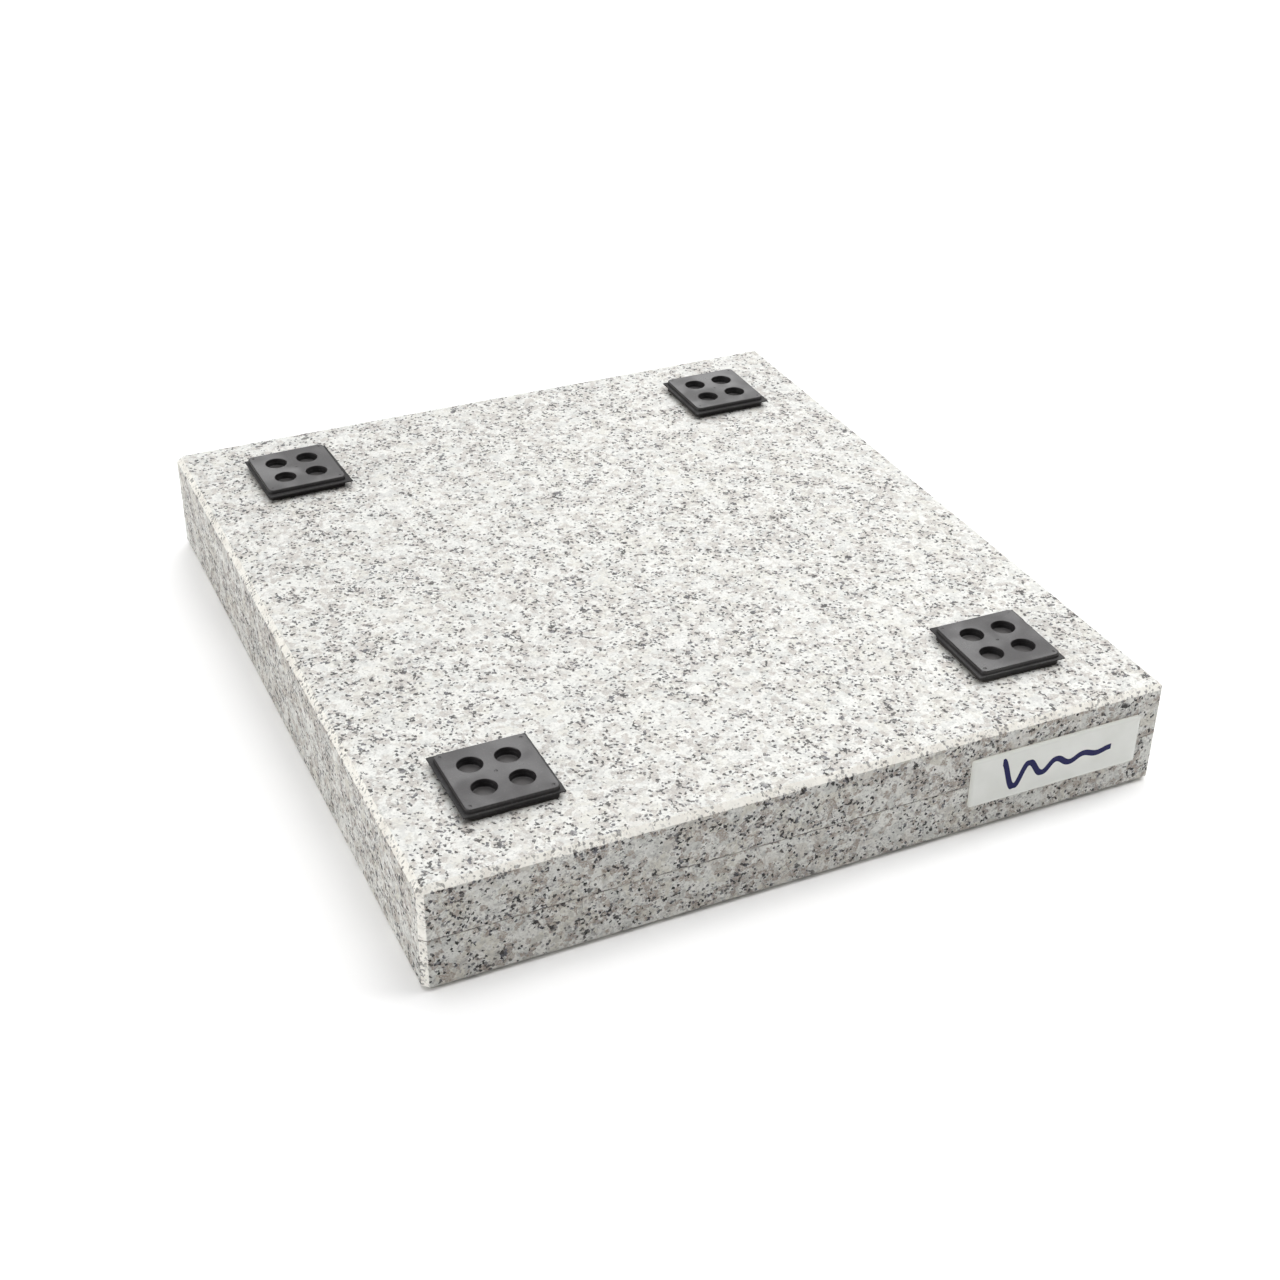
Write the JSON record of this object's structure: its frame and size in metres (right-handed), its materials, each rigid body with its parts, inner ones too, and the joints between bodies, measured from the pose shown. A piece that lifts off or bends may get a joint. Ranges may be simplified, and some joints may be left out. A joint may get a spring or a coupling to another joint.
{
  "type": "granite slab",
  "caption": "Vibration-damping granite base plate: two granite plates bonded face to face, moulded rubber feet on one side and a domed edge label, shown lying feet up.",
  "frame": {"origin": "middle of the working face, the granite face on the side away from the feet", "axes": "+Z points out of the feet, away from the working face, so the plate lies feet up; +Y runs along the 450 mm depth, away from the labelled edge; +X runs along the 400 mm width, towards the label's end. In use the plate is turned over, with the feet on the bench."},
  "size_m": [0.4, 0.4525, 0.0667],
  "materials": {
    "foot_side_granite": "fine sawn and honed",
    "working_granite": "honed",
    "plate_bond_epoxy": "cured epoxy line, ground flush",
    "foot_rubber": "moulded satin",
    "foot_glue": "cured contact glue",
    "label_adhesive": "pressure-sensitive adhesive",
    "label_print": "printed film",
    "label_dome": "clear domed resin"
  },
  "bodies": {
    "root": {"granite_working_plate": "working_granite", "plate_bond_film": "plate_bond_epoxy", "granite_foot_side_plate": "foot_side_granite", "foot_front_left": "foot_rubber", "foot_front_right": "foot_rubber", "foot_rear_left": "foot_rubber", "foot_rear_right": "foot_rubber", "foot_front_left_bond_film": "foot_glue", "foot_front_right_bond_film": "foot_glue", "foot_rear_left_bond_film": "foot_glue", "foot_rear_right_bond_film": "foot_glue", "label_adhesive_film": "label_adhesive", "label_print_film": "label_print", "label_dome": "label_dome"}
  },
  "joints": []
}
